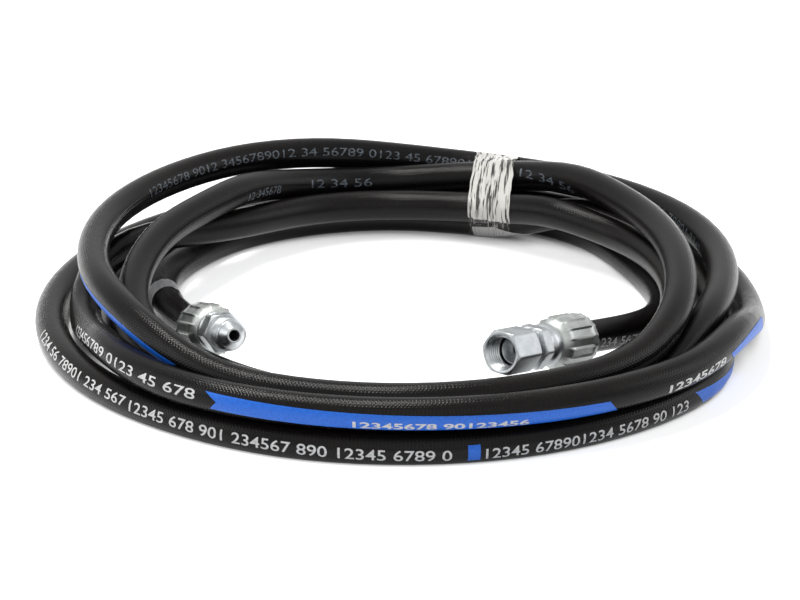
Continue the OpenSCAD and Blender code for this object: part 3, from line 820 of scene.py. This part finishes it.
FILM_AT, FILM_W, FILM_LIFT = math.radians(20.4), 18.5, 0.22
FILM_MID, FILM_LEAN = 113.0, math.tan(math.radians(14.0))  # radius that it leans about, slope
FILM_OUT = np.array([math.sin(FILM_AT), math.cos(FILM_AT)])
FILM_ALONG = np.array([math.cos(FILM_AT), -math.sin(FILM_AT)])
FILM_NORMAL = unit(FILM_ALONG + FILM_LEAN * FILM_OUT)
FILM_ACROSS = unit(FILM_OUT - FILM_LEAN * FILM_ALONG)
FILM_FROM = 60.0  # the passes that it ties lie farther out than this
FILM_COLUMNS, FILM_AROUND = 61, 168  # points across the band and round it
RIPPLE, FINE_RIPPLE, RAGGED = 0.30, 0.12, 0.8  # creases' heights, and how far the edges wander
MILKY_FROM, MILKY_TO = 13.5, 35.5  # heights between which the band is milky
FLAP_TURNS, FLAP_LIFT, FLAP_CREASE = (18.0, 32.0), 0.10, 0.22
FLAP_LOW, FLAP_TIP, FLAP_RISE, FLAP_SLOPE = -66.0, -64.0, 60.0, 0.6  # degrees; share that slopes
TAIL_FILM_TURNS, TAIL_FILM_LIFT, TAIL_FILM_CREASE = (-89.4, -83.4), 0.12, 0.45


def film_base(offset):
    """Where a leaning plane beside the film's middle meets the ring's own axis line."""
    return FILM_ALONG * (offset + FILM_LEAN * FILM_MID)


def passes_at(offset):
    """Where the passes cross a leaning plane, and which way they run there."""
    base = film_base(offset)
    depth = (line[:, :2] - base) @ FILM_NORMAL
    found = []
    for i in np.nonzero((depth[:-1] * depth[1:] <= 0) & (line[:-1, :2] @ FILM_OUT > FILM_FROM))[0]:
        t = depth[i] / (depth[i] - depth[i + 1])
        at, run = line[i] * (1 - t) + line[i + 1] * t, unit(line[i + 1] - line[i])
        found.append(((at[:2] - base) @ FILM_ACROSS, at[2], run[:2] @ FILM_ACROSS, run[2]))
    return np.array(found)


def taut_loop(passes, radius, count):
    """The outline that a taut band takes round the slanting passes, at even spacing from its lowest
    point, and which of its points lie on a pass and which span a gap."""
    a = np.radians(np.arange(0, 360, 3) - 90.0)
    heads = np.stack([np.cos(a), np.sin(a)], 1)
    slant = passes[:, 2:]
    square = 1 - (slant**2).sum(axis=1)
    push = heads @ slant.T
    stretch = np.sqrt(1 + push**2 / square)
    best = np.argmax(heads @ passes[:, :2].T + radius * stretch, axis=1)
    rows = np.arange(len(heads))
    bulge = heads + (push / square)[rows, best][:, None] * slant[best]
    ring = passes[best, :2] + radius * bulge / stretch[rows, best][:, None]
    ring = np.vstack([ring, ring[:1]])
    best = np.append(best, best[0])
    run = np.concatenate([[0], np.cumsum(np.linalg.norm(np.diff(ring, axis=0), axis=1))])
    even = np.linspace(0, run[-1], count, endpoint=False)
    cell = np.searchsorted(run, even, side="right") - 1
    loop = np.stack([np.interp(even, run, ring[:, k]) for k in (0, 1)], 1)
    return loop, even, best[cell] != best[cell + 1]


def bundle_film():
    """Film gathered into strands round the whole bundle at the back; between two heights it is
    milky on its inner side and where it spans a gap."""
    points, milky, spacing = [], [], None
    for i in range(FILM_COLUMNS):
        w = (i / (FILM_COLUMNS - 1) - 0.5) * FILM_W
        loop, even, gap = taut_loop(passes_at(w), HOSE_R + FILM_LIFT, FILM_AROUND)
        spacing = even if spacing is None else spacing
        milky.append(gap)
        middle = loop.mean(axis=0)
        for j, (u, z) in enumerate(loop):
            ripple = noise.noise(Vector((w * 1.5, spacing[j] * 0.035, 3.0)))
            fine = noise.noise(Vector((w * 4.0, spacing[j] * 0.06, 9.0)))
            edge = noise.noise(Vector((spacing[j] * 0.15, w * 0.03, 5.0)))
            away = unit(np.array([u, z]) - middle)
            push = RIPPLE * abs(ripple) + FINE_RIPPLE * abs(fine)
            u, z = u + away[0] * push, max(0.03, z + away[1] * push)
            shift = RAGGED * edge * abs(2 * w / FILM_W) ** 3
            flat = film_base(w + shift) + FILM_ACROSS * u
            points.append((flat[0], flat[1], z))
            gap[j] = MILKY_FROM < z < MILKY_TO and (gap[j] or u < middle[0])
    faces, corners = grid_faces(FILM_COLUMNS, FILM_AROUND)
    uvs = [[(r * FILM_W / (FILM_COLUMNS - 1), c) for r, c in cell] for cell in corners]
    piece = make_piece("bundle_stretch_film", points, faces, FILM, "hose", uvs,
                       FILM_SOFT)
    piece.data.materials.append(MILKY_FILM)
    for polygon, cell in zip(piece.data.polygons, corners):
        i, j = cell[0]
        polygon.material_index = int(milky[i][j])
    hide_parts("bundle_film_tie")


def loose_flap():
    """The film's loose end: a thin hazy corner that clings to the lowest pass beside the band,
    level at first and then sloping down to its tip."""
    start, stop = (reach_at(turn) for turn in FLAP_TURNS)
    rows, columns = 26, 16
    points = []
    for i in range(rows):
        s = i / (rows - 1)
        high = FLAP_TIP + FLAP_RISE * min(1.0, (1 - s) / FLAP_SLOPE)
        for j in range(columns):
            a = FLAP_LOW + (high - FLAP_LOW) * j / (columns - 1)
            crease = abs(noise.noise(Vector((s * 6.0, j * 0.35, 2.0))))
            at = start + (stop - start) * s
            points.append(on_hose(at, a, FLAP_LIFT + FLAP_CREASE * crease))
    faces, corners = grid_faces(rows, columns, close_columns=False)
    uvs = [[(c * 0.7, r * 0.9) for r, c in cell] for cell in corners]
    make_piece("stretch_film_loose_end", points, faces, HAZE, "hose", uvs, FILM_SOFT)


def tail_film():
    """One hazy turn of film round the hose close to the male end."""
    start, stop = (reach_at(turn) for turn in TAIL_FILM_TURNS)
    rows, columns = 18, 48
    points = []
    for i in range(rows):
        s = i / (rows - 1)
        for j in range(columns):
            a = 2 * math.pi * j / columns
            askew, ragged = 1.1 * math.sin(a + 0.8), 0.5 * math.sin(3 * a) * (s - 0.5)
            at = start + (stop - start) * s + askew + ragged
            ripple = abs(noise.noise(Vector((at * 0.8, math.cos(a) * 2.2, math.sin(a) * 2.2))))
            lift = TAIL_FILM_LIFT + TAIL_FILM_CREASE * ripple
            points.append(on_hose(at, math.degrees(a), lift))
    faces, corners = grid_faces(rows, columns)
    uvs = [[(c, r * 0.7) for r, c in cell] for cell in corners]
    piece = make_piece("tail_stretch_film", points, faces, HAZE, "hose", uvs,
                       FILM_SOFT)
    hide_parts("tail_film_tie")


bundle_film()
loose_flap()
tail_film()

# ---------------------------------------------------------------- stage, light and camera


def backdrop():
    """A wide white floor under the coil."""
    floor = bpy.data.meshes.new("floor")
    size = 6.0
    floor.from_pydata([(-size, -size, 0), (size, -size, 0), (size, size, 0), (-size, size, 0)], [],
                      [(0, 1, 2, 3)])
    floor.materials.append(white_floor())
    piece = bpy.data.objects.new("floor", floor)
    bpy.context.scene.collection.objects.link(piece)


def world_light():
    """Soft light all round, seen as plain white by the camera and in gloss."""
    world = bpy.data.worlds.new("world")
    world.use_nodes = True
    tree = world.node_tree
    plain = tree.nodes["Background"]
    plain.inputs["Color"].default_value = (0.92, 0.95, 1.0, 1.0)
    plain.inputs["Strength"].default_value = 0.34
    white = tree.nodes.new("ShaderNodeBackground")
    white.inputs["Strength"].default_value = 1.0
    path = tree.nodes.new("ShaderNodeLightPath")
    mix = tree.nodes.new("ShaderNodeMixShader")
    seen = tree.nodes.new("ShaderNodeMath")
    seen.operation = "MAXIMUM"
    tree.links.new(path.outputs["Is Camera Ray"], seen.inputs[0])
    tree.links.new(path.outputs["Is Glossy Ray"], seen.inputs[1])
    tree.links.new(seen.outputs["Value"], mix.inputs["Fac"])
    tree.links.new(plain.outputs["Background"], mix.inputs[1])
    tree.links.new(white.outputs["Background"], mix.inputs[2])
    tree.links.new(mix.outputs["Shader"], tree.nodes["World Output"].inputs["Surface"])
    bpy.context.scene.world = world


def soft_box(name, place_m, target, size, watts, colour=(1, 1, 1)):
    """A rectangular lamp that is aimed at a point; all in metres and watts."""
    lamp = bpy.data.lights.new(name, "AREA")
    lamp.shape = "RECTANGLE"
    lamp.size, lamp.size_y = size
    lamp.energy = watts
    lamp.color = colour
    piece = bpy.data.objects.new(name, lamp)
    piece.location = place_m
    aim = Vector(target) - Vector(place_m)
    piece.rotation_euler = aim.to_track_quat("-Z", "Y").to_euler()
    bpy.context.scene.collection.objects.link(piece)


CAMERA_ELEVATION = math.radians(21.6)
CAMERA_DISTANCE = 1.6
FOCAL_PIXELS = 3993.0
VIEW_SIZE = (800, 600)
VIEW_POINT = (400.7, 306.0)
AIM_POINT = Vector((0.0, 0.0, HOSE_R)) * MM - Vector(CENTRE * MM)


def main_camera():
    """Camera that puts the coil's middle, at half the hose's height, on VIEW_POINT."""
    data = bpy.data.cameras.new("camera")
    data.sensor_width = 36.0
    data.lens = FOCAL_PIXELS * data.sensor_width / VIEW_SIZE[0]
    data.shift_x = -(VIEW_POINT[0] - VIEW_SIZE[0] / 2) / VIEW_SIZE[0]
    data.shift_y = (VIEW_POINT[1] - VIEW_SIZE[1] / 2) / VIEW_SIZE[0]
    data.clip_end = 50.0
    camera = bpy.data.objects.new("camera", data)
    back = Vector((0.0, -math.cos(CAMERA_ELEVATION), math.sin(CAMERA_ELEVATION)))
    camera.location = AIM_POINT + back * CAMERA_DISTANCE
    camera.rotation_euler = (-back).to_track_quat("-Z", "Y").to_euler()
    bpy.context.scene.collection.objects.link(camera)
    bpy.context.scene.camera = camera


backdrop()
world_light()
soft_box("key_overhead", (-0.3, 0.1, 1.3), (0, 0, 0), (0.9, 0.16), 14.0, (1.0, 0.985, 0.96))
soft_box("fill_front", (0.1, -1.5, 0.9), (0, 0, 0.02), (1.4, 0.5), 1.6, (1.0, 0.97, 0.94))
soft_box("rim_left", (-1.2, -0.3, 0.5), (0, 0, 0.02), (0.6, 0.9), 3.5)
soft_box("rim_right", (1.3, 0.1, 0.6), (0, 0, 0.02), (0.6, 0.9), 3.5)
main_camera()
bpy.context.scene.view_settings.view_transform = "Standard"
